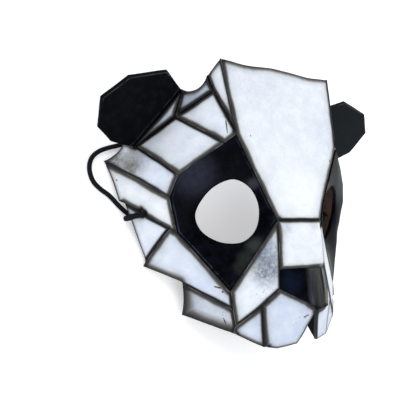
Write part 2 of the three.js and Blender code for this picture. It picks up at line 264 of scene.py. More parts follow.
def braid_tree():
    """Geometry nodes that lay a braided tube along a curve."""
    tree = bpy.data.node_groups.new("braided_cord", "GeometryNodeTree")
    face = tree.interface
    face.new_socket("Line", in_out="INPUT", socket_type="NodeSocketGeometry")
    for name in ("Radius", "Step", "Pitch", "Relief"):
        face.new_socket(name, in_out="INPUT", socket_type="NodeSocketFloat")
    for name in ("Sides", "Strands"):
        face.new_socket(name, in_out="INPUT", socket_type="NodeSocketInt")
    face.new_socket("Finish", in_out="INPUT", socket_type="NodeSocketMaterial")
    face.new_socket("Cord", in_out="OUTPUT", socket_type="NodeSocketGeometry")
    size = {s.name: Tone(s) for s in tree.nodes.new("NodeGroupInput").outputs if s.name}
    start = size["Line"]
    sockets = {"Curve": start, "Length": size["Step"]}
    line = start.node("GeometryNodeResampleCurve", {"mode": "LENGTH"}, sockets)
    along = start.node("GeometryNodeSplineParameter", output="Length")
    named = {"data_type": "FLOAT", "domain": "POINT"}
    sockets = {"Geometry": line, "Name": "along", "Value": along}
    line = line.node("GeometryNodeStoreNamedAttribute", named, sockets)
    sockets = {"Radius": size["Radius"], "Resolution": size["Sides"]}
    ring = start.node("GeometryNodeCurvePrimitiveCircle", None, sockets)
    around = start.node("GeometryNodeSplineParameter", output="Factor")
    sockets = {"Geometry": ring, "Name": "around", "Value": around}
    ring = ring.node("GeometryNodeStoreNamedAttribute", named, sockets)
    sockets = {"Curve": line, "Profile Curve": ring, "Fill Caps": True}
    tube = line.node("GeometryNodeCurveToMesh", None, sockets)
    along, around = (
        tube.node("GeometryNodeInputNamedAttribute", {"data_type": "FLOAT"}, {"Name": name})
        for name in ("along", "around")
    )
    turns = size["Strands"] * around
    rise = size["Strands"] * along.math("DIVIDE", along, size["Pitch"])
    right = tube.math("SINE", math.tau / 2 * (turns + rise))
    left = tube.math("SINE", math.tau / 2 * (turns - rise))
    over = tube.math("ABSOLUTE", right) * tube.math("ABSOLUTE", left)
    outward = tube.node("GeometryNodeInputNormal")
    lift = size["Relief"] * (over - 0.5)
    offset = tube.node("ShaderNodeVectorMath", {"operation": "SCALE"}, {0: outward, "Scale": lift})
    shaped = tube.node("GeometryNodeSetPosition", None, {"Geometry": tube, "Offset": offset})
    whole = shaped.node("GeometryNodeRealizeInstances", None, {"Geometry": shaped})
    painted = whole.node("GeometryNodeSetMaterial", None, {"Geometry": whole, "Material": size["Finish"]})
    tree.links.new(painted.socket, tree.nodes.new("NodeGroupOutput").inputs["Cord"])
    return tree


def plain_mesh(thing, name):
    """The evaluated object as a plain mesh in an object of its own, with the first one removed."""
    evaluated = thing.evaluated_get(bpy.context.evaluated_depsgraph_get())
    mesh = bpy.data.meshes.new_from_object(evaluated)
    bpy.data.objects.remove(thing)
    mesh.name = name
    mesh.shade_smooth()
    return add_object(name, mesh)


cord_finish = cord_material()
cord_line = catmull_rom(np.array(CORD_ROUTE) * MM, CORD_LINE_STEPS)
cord_curve = bpy.data.curves.new("cord_line", "CURVE")
cord_curve.dimensions = "3D"
cord_spline = cord_curve.splines.new("POLY")
cord_spline.points.add(len(cord_line) - 1)
cord_spline.points.foreach_set("co", np.c_[cord_line, np.ones(len(cord_line))].ravel())
cord_guide = add_object("cord_guide", cord_curve)
cord_braid = cord_guide.modifiers.new("braid", "NODES")
cord_braid.node_group = braid_tree()
cord_sizes = {
    "Radius": CORD_DIAMETER / 2,
    "Step": CORD_STEP,
    "Pitch": BRAID_PITCH,
    "Relief": BRAID_RELIEF,
    "Sides": CORD_SIDES,
    "Strands": BRAID_STRANDS,
    "Finish": cord_finish,
}
for item in cord_braid.node_group.interface.items_tree:
    if item.name in cord_sizes:
        cord_braid[item.identifier] = cord_sizes[item.name]
head_cord = plain_mesh(cord_guide, "head_cord_braid")
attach(head_cord, "root")
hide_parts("head_cord")

TIE_LEVELS = 2
TIE_FILL = 0.5 * MM
WELD = 0.002 * MM


def tie(side):
    """The cord's end, looped through its hole: the node's tube, made round."""
    made = bmesh.new()
    made.from_mesh(frame["nodes"][f"cord_tie_{side}"].data)
    bmesh.ops.remove_doubles(made, verts=made.verts, dist=WELD)
    bmesh.ops.join_triangles(
        made, faces=made.faces, angle_face_threshold=math.pi, angle_shape_threshold=math.pi
    )
    for vert in made.verts:
        vert.co += vert.normal * TIE_FILL
    mesh = bpy.data.meshes.new("tie")
    made.to_mesh(mesh)
    made.free()
    mesh.materials.clear()
    mesh.materials.append(cord_finish)
    thing = add_object("tie", mesh)
    rounding = thing.modifiers.new("round", "SUBSURF")
    rounding.levels = rounding.render_levels = TIE_LEVELS
    return plain_mesh(thing, f"cord_tie_{side}_braid")


for side in ("left", "right"):
    piece = tie(side)
    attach(piece, "root")
    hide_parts(f"cord_tie_{side}")

# White panels: vegetable-tanned leather about 2 mm thick, cut to flat facets, moulded wet, and tooled down
# along every fold. The white paint is sponged with blue-grey, and brown-black dye is left in the grooves.

# A panel's outside holds together over gentle folds, and faces away from these spots
GENTLE_FOLD = math.radians(48)
BEHIND_FACE = np.array((0, 10, 0)) * MM
BEHIND_EARS = np.array((0, 250, 0)) * MM
TINY = 1e-18
# Borders go in short steps, and close points that turn gently lie on a curve
BORDER_STEP = 0.9 * MM
CURVE_TURN = math.radians(32)
CURVE_SPAN = 7 * MM
# Rows of points follow the border at these distances, and grids fill the rest outside and inside
RINGS = [x * MM for x in (0.1, 0.25, 0.45, 0.7, 1.0, 1.4, 1.8, 2.15, 2.4, 2.65, 3.0, 3.6, 4.5)]
GRID = 2.4 * MM
INNER_GRID = 4 * MM
ROW_SLACK = 0.985
MITRE_LIMIT = 0.25
MERGE_MM = 1e-5
CREASED = ("bridge", "nose")
# Edges with a neighbour within reach are seams, bevelled or plain, and the rest are rims: width and depth
SEAM_REACH = 1.6 * MM
BEVEL = (2.5 * MM, 0.95 * MM)
BEVEL_RIDGE = 0.1
PLAIN = (0.8 * MM, 0.5 * MM)
RIM = (1.1 * MM, 0.55 * MM)
RIM_SWELL = 0.12 * MM
GROOVE_DEPTH = 1.25 * MM
GROOVE_SHARE = 0.6
OVERLAP = 0.32 * MM
SHARP_EDGE = math.radians(62)
NO_EDGE = 30 * MM
OFF_SKIN = -1.0
# Edges waver, as cut by hand, and faces are a little uneven
HAND_CUT = 0.25 * MM
HAND_CUT_SIZE = 11 * MM
HAND_CUT_SEED = 3
UNDULATION = 0.22 * MM
UNDULATION_SIZE = 17 * MM
UNDULATION_MARGIN = 4 * MM
# The leather between these panels closes on the cord in its punched hole, here the right one
HOLED = ("cheek_wing", "cheek_gusset")
HOLE_SPOT = np.array((84.3, 7.2, 15.4)) * MM
HOLE_REACH = 3 * MM
HOLE_GRIP = 0.55
# The eye holes' edges are pressed in, most at their lower ends: way on the left half, least and most depth,
# and half the height of a hole
SOCKET_WAY = np.array((0.65, 0.34, -0.71))
SOCKET_DEPTHS = (0.5 * MM, 5.5 * MM)
SOCKET_HALF = 18 * MM
# Where the moulding pulled the leather: panel or all, spot, step, how far round it follows, and whether in
# a smooth curve. A spot on the left half stands for both halves, and one on the right for itself.
PULLS = [
    ("", (-45, 37.5, 69), (0.4, 0.5, 1.4), 45, False),
    ("", (45, 37.5, 69), (1.6, -2.6, -1.7), 45, False),
    ("", (19, -13, 60.7), (1.5, 0, -0.2), 25, False),
    ("", (9, -65.5, 58.5), (0.5, -3.8, -1.3), 12, False),
    ("", (20.5, -87.5, 34.5), (1.6, 3, 1.2), 14, False),
    ("", (-79, 11, 37.5), (0.4, -1.3, -0.4), 25, False),
    ("", (-96.5, 49, 1), (-0.7, 0, 0), 25, False),
    ("forehead", (-28, 86, 77), (0, -1.3, -0.2), 27, True),
    ("upper_wing", (-86.5, 56, 12), (0.5, 1.3, -1.3), 12, False),
    ("ear_base", (-81, 54, 21), (-1.7, -1.7, -2.3), 8, False),
    ("ear", (-106, 74.5, 60.5), (1, -0.8, -0.4), 25, False),
    ("ear", (-101, 51, 22), (-0.5, 0.5, 0.2), 12, False),
    ("ear", (-81, 54, 21), (-2.3, -2.5, -3.1), 20, False),
    ("lip", (-2.5, -70.5, 53.5), (2, 1.6, 2), 9, False),
]
# Where two panels meet, the one with the higher rank is bevelled down to the groove
RANKS = {
    "lip": 10, "lip_side": 9, "bridge": 9, "nose": 8.5, "muzzle_side": 8, "forehead": 8, "jaw": 7,
    "brow_strip": 7, "cheek": 6, "cheek_wing": 5, "brow": 5, "temple": 4, "upper_brow": 3, "upper_wing": 3,
    "cheek_gusset": 2, "ear": 1.5, "ear_base": 1,
}
# How far the dye on each kind of edge spreads into the paint, and how blue the paint is, where not as usual
SPREADS = {
    "bevel": {"bridge": 0.65},
    "plain": {"upper_brow": 1.7, "ear_base": 1.5},
    "rim": {
        "jaw": 2.3, "cheek": 1.5, "lip": 0.5, "lip_side": 0.9, "forehead": 1.1, "cheek_gusset": 0.6,
        "cheek_wing": 0.6,
    },
}
TINTS = {
    "forehead": 0.28, "bridge": 0.2, "brow_strip": 0.25, "brow": 0.35, "temple": 0.35, "cheek_wing": 0.15,
    "cheek_gusset": 0.6, "muzzle_side": 0.4, "lip_side": 0.95, "lip": 1.0, "ear_base": 1.0, "upper_brow": 1.0,
}
USUAL_TINT = 0.65


def side_free(node):
    """A panel's name without its side, because tables say the same for left and right."""
    return node.removesuffix("_left").removesuffix("_right")


def welded(node):
    """Points and triangles of a CAD node, with its shared points merged."""
    solid = bmesh.new()
    solid.from_mesh(frame["nodes"][node].data)
    bmesh.ops.remove_doubles(solid, verts=solid.verts, dist=WELD)
    solid.verts.index_update()
    points = np.array([v.co for v in solid.verts])
    triangles = [[v.index for v in f.verts] for f in solid.faces]
    solid.free()
    return points, triangles


def outer_skin(points, triangles, behind):
    """Triangles and way up of a panel's outside, the largest group over gentle folds that faces out."""
    a, b, c = points[np.array(triangles).T]
    normals = np.cross(b - a, c - a)
    units = normals / np.maximum(np.linalg.norm(normals, axis=1), TINY)[:, None]
    flow = (normals * ((a + b + c) / 3 - behind)).sum(1)
    beside = {}
    for number, corners in enumerate(triangles):
        for start, end in zip(corners, corners[1:] + corners[:1]):
            beside[start, end] = number
    left = set(range(len(triangles)))
    groups = []
    while left:
        todo = [min(left)]
        left.remove(todo[0])
        group = []
        while todo:
            number = todo.pop()
            group.append(number)
            corners = triangles[number]
            for start, end in zip(corners, corners[1:] + corners[:1]):
                other = beside[end, start]
                if other in left and units[number] @ units[other] > math.cos(GENTLE_FOLD):
                    left.remove(other)
                    todo.append(other)
        groups.append(group)
    outward = [numbers for numbers in groups if flow[numbers].sum() > 0]
    group = max(outward, key=lambda numbers: np.linalg.norm(normals[numbers], axis=1).sum())
    return group, normals[group].sum(0) / np.linalg.norm(normals[group].sum(0))


def border_loops(node):
    """A panel's border as loops of outer points with the inner ones behind them, its way up, any facets."""
    points, triangles = welded(node)
    behind = BEHIND_EARS if side_free(node) == "ear" else BEHIND_FACE
    skin, up = outer_skin(points, triangles, behind)
    corners = [triangles[number] for number in skin]
    steps = {(s, e) for t in corners for s, e in zip(t, t[1:] + t[:1])}
    follows = {s: e for s, e in steps if (e, s) not in steps}
    on_skin = {v for t in corners for v in t}
    joined = {v: set() for v in follows}
    for t in triangles:
        for v in t:
            if v in joined:
                joined[v].update(w for w in t if w not in on_skin)
    loops = []
    while follows:
        loop = [min(follows)]
        while loop[-1] in follows:
            loop.append(follows.pop(loop[-1]))
        outer = points[loop[:-1]]
        inner = [
            min(points[list(joined[v])], key=lambda p: np.linalg.norm(p - points[v])) for v in loop[:-1]
        ]
        loop = resampled(np.c_[outer, np.array(inner)])
        loop += np.tile(hand_cut(loop[:, :3]) + pulled(node, loop[:, :3]), 2)
        if side_free(node) in HOLED:
            hole = HOLE_SPOT * (np.sign(loop[0, 0]), 1, 1)
            grip = np.linalg.norm(loop[:, :3] - hole, axis=1) < HOLE_REACH
            loop[grip, :3] += HOLE_GRIP * (hole - loop[grip, :3])
            loop[grip, 3:] += HOLE_GRIP * (hole - loop[grip, :3])
        loops.append(loop)
    loops.sort(key=len, reverse=True)
    for hole in loops[1:]:
        below = np.clip(0.5 + (hole[:, 1].mean() - hole[:, 1]) / (2 * SOCKET_HALF), 0, 1)
        depth = SOCKET_DEPTHS[0] + (SOCKET_DEPTHS[1] - SOCKET_DEPTHS[0]) * below
        mirror = np.array((-np.sign(hole[0, 0]), 1, 1))
        hole += np.tile(depth[:, None] * SOCKET_WAY * mirror, 2)
    return loops, up, points[np.array(corners)] if node in CREASED else np.empty((0, 3, 3))


def hand_cut(points):
    """Small steps that make straight edges waver, the same for panels that lie side by side."""
    return HAND_CUT * np.array([noise.noise_vector(Vector(point / HAND_CUT_SIZE)) for point in points])


def pulled(node, points):
    """Steps of points that follow the pulled places near them."""
    mirror = np.c_[np.where(points[:, 0] > 0, -1, 1), np.ones((len(points), 2))]
    steps = np.zeros(points.shape)
    for panel_name, spot, step, reach, smooth in PULLS:
        if panel_name in ("", side_free(node)):
            turn = mirror if spot[0] < 0 else 1
            away = np.linalg.norm(points * turn - np.array(spot) * MM, axis=1)
            share = np.clip(1 - away / (reach * MM), 0, 1)
            if smooth:
                share = share**2 * (3 - 2 * share)
            steps += share[:, None] * np.array(step) * MM * turn
    return steps


def resampled(loop):
    """Loop in short steps: straight between corners, and smooth through close points that turn gently."""
    spans = np.roll(loop[:, :3], -1, axis=0) - loop[:, :3]
    lengths = np.linalg.norm(spans, axis=1)
    ways = spans / lengths[:, None]
    turns = np.arccos(np.clip((ways * np.roll(ways, 1, axis=0)).sum(1), -1, 1))
    short = np.maximum(lengths, np.roll(lengths, 1)) < CURVE_SPAN
    sharp = np.flatnonzero((turns > CURVE_TURN) | ~short)
    if len(sharp) == 0:
        return catmull_rom(loop, max(1, round(lengths.mean() / BORDER_STEP)), closed=True)
    runs = []
    for start, end in zip(sharp, [*sharp[1:], sharp[0] + len(loop)]):
        run = loop[np.arange(start, end + 1) % len(loop)]
        length = np.linalg.norm(np.diff(run[:, :3], axis=0), axis=1).mean()
        runs.append(catmull_rom(run, max(1, round(length / BORDER_STEP)))[:-1])
    return np.concatenate(runs)


def nearest_segment(points, starts, ends):
    """Distance from each point to the nearest of these segments, and that segment's number."""
    spans = ends - starts
    ways = points[:, None] - starts
    share = (ways * spans).sum(2) / np.maximum((spans**2).sum(1), TINY)
    gaps = np.linalg.norm(ways - np.clip(share, 0, 1)[..., None] * spans, axis=2)
    near = gaps.argmin(1)
    return gaps[np.arange(len(points)), near], near


def is_inside(points, starts, ends):
    """Whether each flat point lies inside closed loops of segments."""
    x, y = points[:, :1], points[:, 1:]
    crosses = (starts[:, 1] > y) != (ends[:, 1] > y)
    rise = np.where(crosses, ends[:, 1] - starts[:, 1], 1)
    at = starts[:, 0] + (y - starts[:, 1]) / rise * (ends[:, 0] - starts[:, 0])
    return (crosses & (x < at)).sum(1) % 2 == 1


def carried(points, loops):
    """Heights at flat points inside, carried from the loops' own heights by mean value weights."""
    total = weight = 0
    for loop in loops:
        ways = loop[:, :2] - points[:, None]
        after = np.roll(ways, -1, axis=1)
        cross = ways[..., 0] * after[..., 1] - ways[..., 1] * after[..., 0]
        half = np.tan(np.arctan2(cross, (ways * after).sum(2)) / 2)
        w = (half + np.roll(half, 1, axis=1)) / np.linalg.norm(ways, axis=2)
        total = total + w @ loop[:, 2]
        weight = weight + w.sum(1)
    return total / weight


def facet_heights(points, facets):
    """Heights at flat points on the facets they lie in, or else on the facets nearest to them."""
    a, b, c = (facets[:, k] for k in range(3))
    (bx, by), (cx, cy) = (b - a)[:, :2].T, (c - a)[:, :2].T
    x, y = (points[:, None] - a[:, :2]).transpose(2, 0, 1)
    whole = bx * cy - by * cx
    second = (x * cy - y * cx) / whole
    third = (bx * y - by * x) / whole
    shares = np.stack((1 - second - third, second, third), axis=2)
    near = shares.min(2).argmax(1)
    return (shares[np.arange(len(points)), near] * facets[near, :, 2]).sum(1)


def on_facets(points, loops, facets):
    """Heights at flat points inside loops, which meet the loops' own heights and follow any facets."""
    if len(facets) == 0:
        return carried(points, loops)
    rests = [np.c_[loop[:, :2], loop[:, 2] - facet_heights(loop[:, :2], facets)] for loop in loops]
    return facet_heights(points, facets) + carried(points, rests)


def inward_steps(loop):
    """Flat step at each point of a loop that moves both of its edges in by one."""
    spans = np.roll(loop[:, :2], -1, axis=0) - loop[:, :2]
    spans /= np.linalg.norm(spans, axis=1)[:, None]
    after = np.c_[-spans[:, 1], spans[:, 0]]
    before = np.roll(after, 1, axis=0)
    return (after + before) / np.maximum(1 + (after * before).sum(1), MITRE_LIMIT)[:, None]


def hex_grid(low, high, spacing):
    """Flat points in a triangular pattern over a rectangle."""
    rows = np.arange(low[1], high[1], spacing * math.sqrt(3) / 2)
    columns = np.arange(low[0], high[0], spacing)
    return np.array([(x + spacing / 2 * (k % 2), y) for k, y in enumerate(rows) for x in columns])


def filled(loops, extra):
    """Triangles inside flat loops through their points and extra ones, counter-clockwise."""
    flat = [loop[:, :2] for loop in loops]
    firsts = np.cumsum([0] + [len(loop) for loop in flat])
    edges = [
        (int(first + k), int(first + (k + 1) % len(loop)))
        for first, loop in zip(firsts, flat)
        for k in range(len(loop))
    ]
    points = np.concatenate([*flat, extra])
    # The triangulation works in millimetres, so that its tolerance is small beside the steps
    found = delaunay_2d_cdt([Vector(p) for p in points / MM], edges, [], 0, MERGE_MM)
    spots = np.array(found[0]) * MM
    names = [
        origins[0] if origins else int(np.linalg.norm(points - spot, axis=1).argmin())
        for spot, origins in zip(spots, found[3])
    ]
    faces = np.array([[names[v] for v in face] for face in found[2] if len({names[v] for v in face}) == 3])
    starts = np.concatenate(flat)
    ends = np.concatenate([np.roll(loop, -1, axis=0) for loop in flat])
    faces = faces[is_inside(points[faces].mean(1), starts, ends)]
    a, b, c = (points[faces[:, k]] for k in range(3))
    turned = (b - a)[:, 0] * (c - a)[:, 1] - (b - a)[:, 1] * (c - a)[:, 0] < 0
    faces[turned] = faces[turned][:, ::-1]
    return faces


def rounded(gap, wide, deep):
    """How far a border that is rounded over lies below the panel, at a distance from its edge."""
    return deep * (1 - np.sqrt(1 - np.clip(1 - gap / wide, 0, 1) ** 2))


noise.seed_set(HAND_CUT_SEED)
CORDS = ("head_cord", "cord_tie_left", "cord_tie_right")
PANELS = [node for node in frame["nodes"] if node not in CORDS]
borders = {node: border_loops(node) for node in PANELS}
segments = [
    (name, part[:, :3], np.roll(part[:, :3], -1, axis=0)) for name in PANELS for part in borders[name][0]
]


def rank(node):
    """A panel's place in the order of bevels."""
    return RANKS.get(side_free(node), 0)


def neighbours(node, loop):
    """For each border point the kind of edge it is on, and the step from there into the groove."""
    others = [segment for segment in segments if segment[0] != node]
    starts = np.concatenate([segment[1] for segment in others])
    ends = np.concatenate([segment[2] for segment in others])
    ranks = np.concatenate([np.full(len(segment[1]), rank(segment[0])) for segment in others])
    ups = np.concatenate([np.tile(borders[segment[0]][1], (len(segment[1]), 1)) for segment in others])
    gaps, near = nearest_segment(loop[:, :3], starts, ends)
    kinds = np.where(ranks[near] < rank(node), "bevel", "plain")
    kinds = np.where(gaps < SEAM_REACH, kinds, "rim")
    down = ups[near] + borders[node][1]
    down *= GROOVE_DEPTH / np.linalg.norm(down, axis=1)[:, None]
    return kinds, GROOVE_SHARE * ((starts[near] + ends[near]) / 2 - loop[:, :3]) - down


def chamfered(gap, wide, deep):
    """As rounded, but for a straight bevel with a soft ridge."""
    share = np.clip(1 - gap / wide, 0, 1)
    fall = np.sqrt(share**2 + BEVEL_RIDGE**2) - BEVEL_RIDGE
    return deep * fall / (math.sqrt(1 + BEVEL_RIDGE**2) - BEVEL_RIDGE)


def panel(node, name, finishes):
    """A leather panel over a CAD panel: rounded skin, cut edges and flesh side, as one closed mesh."""
    loops, up, facets = borders[node]
    middle = loops[0][:, :3].mean(0)
    right = loops[0][1, :3] - loops[0][0, :3]
    right -= up * (up @ right)
    right /= np.linalg.norm(right)
    axes = np.array([right, np.cross(up, right), up])
    outer = [(loop[:, :3] - middle) @ axes.T for loop in loops]
    inner = [(loop[:, 3:] - middle) @ axes.T for loop in loops]
    facets = (facets - middle) @ axes.T
    kinds, steps = (np.concatenate(found) for found in zip(*[neighbours(node, loop) for loop in loops]))
    ways = [inward_steps(loop) for loop in outer]
    starts = np.concatenate([loop[:, :2] for loop in outer])
    ends = np.concatenate([np.roll(loop[:, :2], -1, axis=0) for loop in outer])

    # Rows of points follow the border, and a plain pattern fills the rest
    rows = []
    for gap in RINGS:
        row = starts + gap * np.concatenate(ways)
        near, _ = nearest_segment(row, starts, ends)
        rows.append(row[is_inside(row, starts, ends) & (near > ROW_SLACK * gap)])
    pattern = hex_grid(starts.min(0), starts.max(0), GRID)
    pattern = pattern[is_inside(pattern, starts, ends)]
    near, _ = nearest_segment(pattern, starts, ends)
    extra = np.concatenate([*rows, pattern[near > RINGS[-1] + GRID / 2]])
    faces = filled(outer, extra)

    # Skin: the border is rounded over or bevelled, and the rest is a little uneven
    flat = np.concatenate([starts, extra])
    heights = np.concatenate([*[loop[:, 2] for loop in outer], on_facets(extra, outer, facets)])
    gaps = {kind: np.full(len(flat), NO_EDGE) for kind in ("bevel", "plain", "rim")}
    for kind in gaps:
        chosen = kinds == kind
        if chosen.any():
            gaps[kind], _ = nearest_segment(flat, starts[chosen], ends[chosen])
            gaps[kind][: len(starts)][chosen] = 0
    drop = np.maximum(rounded(gaps["plain"], *PLAIN), rounded(gaps["rim"], *RIM))
    drop = np.maximum(drop, chamfered(gaps["bevel"], *BEVEL))
    least = np.minimum(np.minimum(gaps["plain"], gaps["rim"]), gaps["bevel"])
    spots = middle + np.c_[flat, heights] @ axes
    waves = np.array([noise.noise(Vector(spot / UNDULATION_SIZE)) for spot in spots])
    lift = UNDULATION * waves * np.clip(least / UNDULATION_MARGIN, 0, 1) - drop
    skin = spots + lift[:, None] * up

    # Cut edges: a row of points halfway down swells out, so that neighbours close the groove between them
    top = skin[: len(starts)]
    bottom = np.concatenate([loop[:, 3:] for loop in loops])
    outward = -np.concatenate(ways) @ axes[:2]
    groove = np.concatenate([loop[:, :3] for loop in loops]) + steps + OVERLAP * outward
    waist = np.where((kinds == "rim")[:, None], (top + bottom) / 2 + RIM_SWELL * outward, groove)
    pattern = hex_grid(starts.min(0), starts.max(0), INNER_GRID)
    inner_starts = np.concatenate([loop[:, :2] for loop in inner])
    inner_ends = np.concatenate([np.roll(loop[:, :2], -1, axis=0) for loop in inner])
    pattern = pattern[is_inside(pattern, inner_starts, inner_ends)]
    near, _ = nearest_segment(pattern, inner_starts, inner_ends)
    pattern = pattern[near > INNER_GRID / 2]
    back_faces = filled(inner, pattern)
    back = middle + np.c_[pattern, on_facets(pattern, inner, facets)] @ axes

    count = len(starts)
    waist_first = len(skin)
    bottom_first = waist_first + count
    quads = []
    first = 0
    for loop in outer:
        here = first + np.arange(len(loop))
        after = np.roll(here, -1)
        quads += [np.c_[here, waist_first + here, waist_first + after, after]]
        quads += [np.c_[waist_first + here, bottom_first + here, bottom_first + after, waist_first + after]]
        first += len(loop)
    flesh = bottom_first + back_faces[:, ::-1]
    mesh = bpy.data.meshes.new(name)
    points = np.concatenate([skin, waist, bottom, back])
    shell = [*faces.tolist(), *np.concatenate(quads).tolist(), *flesh.tolist()]
    mesh.from_pydata(points.tolist(), [], shell)
    for finish in finishes:
        mesh.materials.append(finish)
    slots = np.zeros(len(mesh.polygons), int)
    slots[len(mesh.polygons) - len(flesh):] = 1
    mesh.polygons.foreach_set("material_index", slots)
    mesh.shade_smooth()
    mesh.set_sharp_from_angle(angle=SHARP_EDGE)
    for kind, values in gaps.items():
        spread = np.full(len(points), OFF_SKIN, np.float32)
        spread[: len(skin)] = values / MM / SPREADS[kind].get(side_free(node), 1)
        mesh.attributes.new(f"{kind}_gap", "FLOAT", "POINT").data.foreach_set("value", spread)
    tint = np.full(len(points), TINTS.get(side_free(node), USUAL_TINT), np.float32)
    mesh.attributes.new("tint", "FLOAT", "POINT").data.foreach_set("value", tint)
    piece = add_object(name, mesh)
    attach(piece, "root")
    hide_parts(node)
    return piece


def attribute(place, name):
    """A number that a panel's mesh carries at its points."""
    return place.node("ShaderNodeAttribute", {"attribute_name": name}, output="Fac")


def ramp(tone, stops):
    """Colour by a tone in millimetres, from a few stops of position and colour or grey."""
    last = stops[-1][0]
    colours = [(at / last, shade if isinstance(shade, tuple) else (shade,) * 3) for at, shade in stops]
    return tone.node("ShaderNodeValToRGB", {"stops": colours}, {"Fac": tone * (1 / last)})


def times(first, second):
    """Product of two colour tones."""
    settings = {"data_type": "RGBA", "blend_type": "MULTIPLY"}
    return first.node("ShaderNodeMix", settings, {0: 1.0, 6: first, 7: second}, 2)


# What the dye leaves of the paint's colour, by millimetres from each kind of edge
DYE = {
    "bevel": [
        (0, (0.006, 0.005, 0.005)), (0.8, (0.009, 0.008, 0.007)), (1.15, (0.035, 0.030, 0.025)),
        (1.6, (0.07, 0.062, 0.052)), (2.2, (0.145, 0.134, 0.116)), (2.6, (0.37, 0.36, 0.34)),
        (3.1, (0.72, 0.71, 0.69)), (4.6, (0.89, 0.89, 0.88)), (9, 1),
    ],
    "plain": [
        (0, (0.006, 0.005, 0.005)), (0.55, (0.009, 0.008, 0.007)), (0.85, (0.10, 0.09, 0.08)),
        (1.2, (0.50, 0.49, 0.48)), (1.7, 0.82), (2.8, 0.95), (5, 1),
    ],
    "rim": [
        (0, (0.006, 0.005, 0.005)), (0.4, (0.012, 0.010, 0.008)), (0.9, (0.06, 0.05, 0.042)),
        (1.6, (0.17, 0.15, 0.13)), (2.3, (0.47, 0.45, 0.43)), (3.2, 0.82), (6, 1),
    ],
}
STROKE_CORE = 0.4
SOFT_CORE = 0.1


def close_to(place, spot, start, end):
    """1 round a spot up to one distance, fading to 0 at another, all in millimetres."""
    away = place.vector("DISTANCE", place, Vector(spot) * MM, output="Value")
    return away.step(end * MM, start * MM)


def stroke(place, start, end, wide, core=STROKE_CORE):
    """1 on the core of a short line between two spots, fading to 0 at its sides, all in millimetres."""
    start, end = Vector(start) * MM, Vector(end) * MM
    span = end - start
    way = place.vector("SUBTRACT", place, start)
    share = way.vector("DOT_PRODUCT", way, span / span.length_squared, output="Value").clamped()
    along = share.node("ShaderNodeVectorMath", {"operation": "SCALE"}, {0: span, "Scale": share})
    away = way.vector("DISTANCE", way, along, output="Value")
    return away.step(wide / 2 * MM, core * wide / 2 * MM)


def leather_grain(place, size, deep):
    """Surface normal of fine grain, its size and depth in metres."""
    return bump(clouds(place, size, 4, 0.6), deep)


# White is sponged over a blue-grey ground, both from the palest panels to the bluest
SPONGE_SIZE = 8 * MM
GROUND = ((0.77, 0.80, 0.82), (0.52, 0.58, 0.71))
WHITE = ((0.88, 0.89, 0.89), (0.63, 0.68, 0.78))
DAB_SIZE = 2.2 * MM
DAB_SHARE = 0.22
DAB_BLUE = (0.52, 0.57, 0.68)
SPOT_PATCH_SIZE = 2.2 * MM
SPOT_CORE = 0.2
UNMARKED_TINTS = (0.15, 0.2)
FRAY = 0.9 * MM
FRAY_SIZE = 0.7 * MM
SPECK_STEP = 1.4 * MM
SPECK_FLOCK = 3 * MM
SPECK_CORE = 0.4
SPECK_BLACK = (0.05, 0.05, 0.055)
STROKE_BLACK = (0.02, 0.018, 0.018)
DYE_WANDER = 14 * MM
DYE_SHAKE = 1.6 * MM
BEVEL_HIGHLIGHT_SIZE = 13 * MM
BEVEL_HIGHLIGHT_BROWN = (0.36, 0.34, 0.31)
WHITE_GRAIN = (0.9 * MM, 0.06 * MM)
DIRT_AND_SHADE_SPOTS = [
    # spot, radius, strength, colour of dirt and paint rubbed over the white; the fourth and fifth, over the
    # upper brow and the ear base, are painted shade, and the last is a paler patch low in the middle of the
    # forehead
    ((-87, 40, 16), 17, 1.0, (0.25, 0.245, 0.23)),
    ((-92.5, 46, 8), 10, 1.2, (0.19, 0.185, 0.17)),
    ((-88, 38, 17), 8, 1.3, (0.17, 0.165, 0.15)),
    ((-60.5, 70.5, 50.5), 13, 0.85, (0.33, 0.36, 0.44)),
    ((-72.5, 63, 33), 7, 0.6, (0.33, 0.36, 0.46)),
    ((-26.5, -31, 51.5), 14, 1.2, (0.24, 0.29, 0.37)),
    ((-27.5, -41, 49), 14, 1.2, (0.17, 0.195, 0.23)),
    ((-13, -17.5, 60), 7, 0.8, (0.42, 0.48, 0.56)),
    ((11.5, -16.5, 60), 6, 0.6, (0.42, 0.48, 0.56)),
    ((-6.5, -6.5, 62), 8, 0.6, (0.45, 0.5, 0.56)),
    ((-61.5, -50, 11), 13, 0.7, (0.36, 0.38, 0.48)),
    ((-58.5, -39.5, 23.5), 13, 0.6, (0.52, 0.58, 0.76)),
    ((-20, 78, 76), 34, 0.3, (0.50, 0.56, 0.66)),
    ((38, 46, 70), 22, 0.45, (0.52, 0.58, 0.74)),
    ((4, 2, 63), 30, 0.75, (0.94, 0.94, 0.94)),
]
SPECKS = [
    # spot, radius where dark specks of paint lie
    ((-27, -50, 44), 13),
    ((-24.5, -38, 51), 11),
    ((-49, -63.5, 24.5), 8),
    ((-7, -76, 48), 11),
]
WASHED_OUT_SEAMS = [
    # seams whose dye is taken out, as painted light where bright light washes them out: start, end, width,
    # strength
    ((20, -20, 59), (19.5, -38, 55), 7, 0.8),
    ((30.5, -67, 39.5), (28, -82, 33), 7, 0.7),
]
